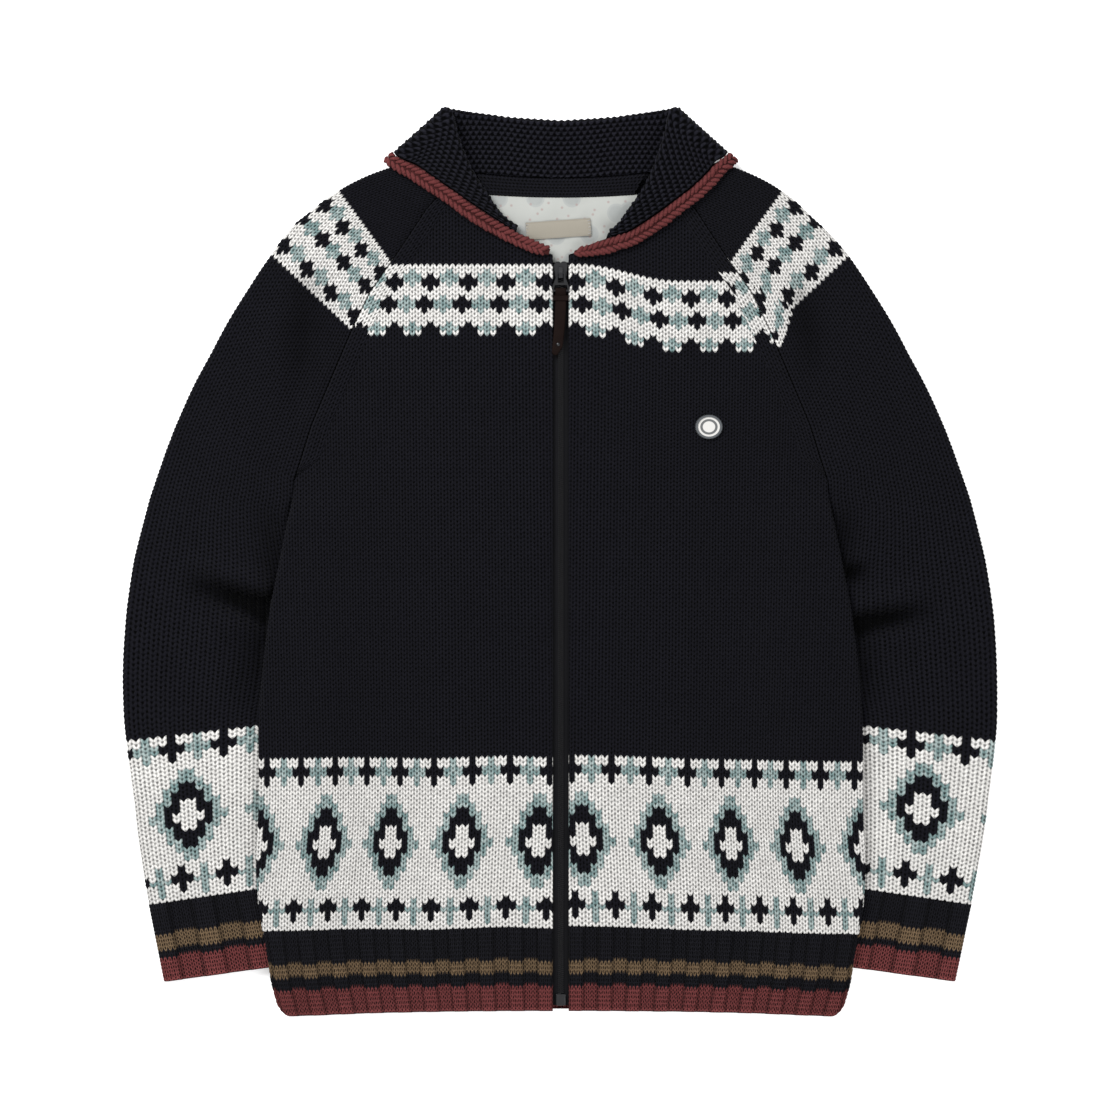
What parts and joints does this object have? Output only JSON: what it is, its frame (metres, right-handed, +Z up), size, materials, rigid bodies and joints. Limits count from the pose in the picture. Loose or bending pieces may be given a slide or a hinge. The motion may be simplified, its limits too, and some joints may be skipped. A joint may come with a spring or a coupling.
{
  "type": "cowichan cardigan",
  "caption": "Zip-front bulky knit cardigan with raglan sleeves and a rolled shawl collar, laid flat and closed.",
  "frame": {"origin": "on the surface that the cardigan lies on, under the middle of its outline", "axes": "+Z up from the surface, +Y from the hem towards the collar, +X towards the wearer's left sleeve"},
  "size_m": [0.711, 0.7378, 0.0228],
  "materials": {
    "navy_knit": "bulky heathered knit",
    "navy_rib": "ribbed knit with brown and burgundy stripes",
    "navy_garter": "garter knit",
    "burgundy_garter": "garter knit",
    "navy_tape": "fine knitted tape",
    "lining": "soft brushed lining",
    "label": "woven",
    "zip_tape": "woven",
    "zip_teeth": "dark metal",
    "slider_metal": "satin",
    "link_metal": "satin",
    "leather": "waxed",
    "badge": "satin"
  },
  "bodies": {
    "cardigan": {"back_panel": "navy_knit", "front_left": "navy_knit", "front_right": "navy_knit", "sleeve_left": "navy_knit", "sleeve_right": "navy_knit", "cuff_left": "navy_rib", "cuff_right": "navy_rib", "welt_back": "navy_rib", "welt_left": "navy_rib", "welt_right": "navy_rib", "collar": "navy_garter", "collar_trim": "burgundy_garter", "neck_tape": "navy_tape", "back_lining": "lining", "neck_label": "label", "zip_tape_left": "zip_tape", "zip_tape_right": "zip_tape", "zip_chain": "zip_teeth", "zip_bottom_box": "zip_teeth", "zip_slider": "slider_metal", "chest_badge": "badge"},
    "zip_pull": {"zip_pull_link": "link_metal", "zip_pull_tab": "leather", "zip_pull_keeper": "leather"}
  },
  "joints": [
    {"name": "zip_pull_hinge", "type": "hinge", "parent": "cardigan", "child": "zip_pull", "pos_m": [0, 0.234, 0.01214], "axis": [-1, 0, 0], "range_deg": [0, 150]}
  ]
}
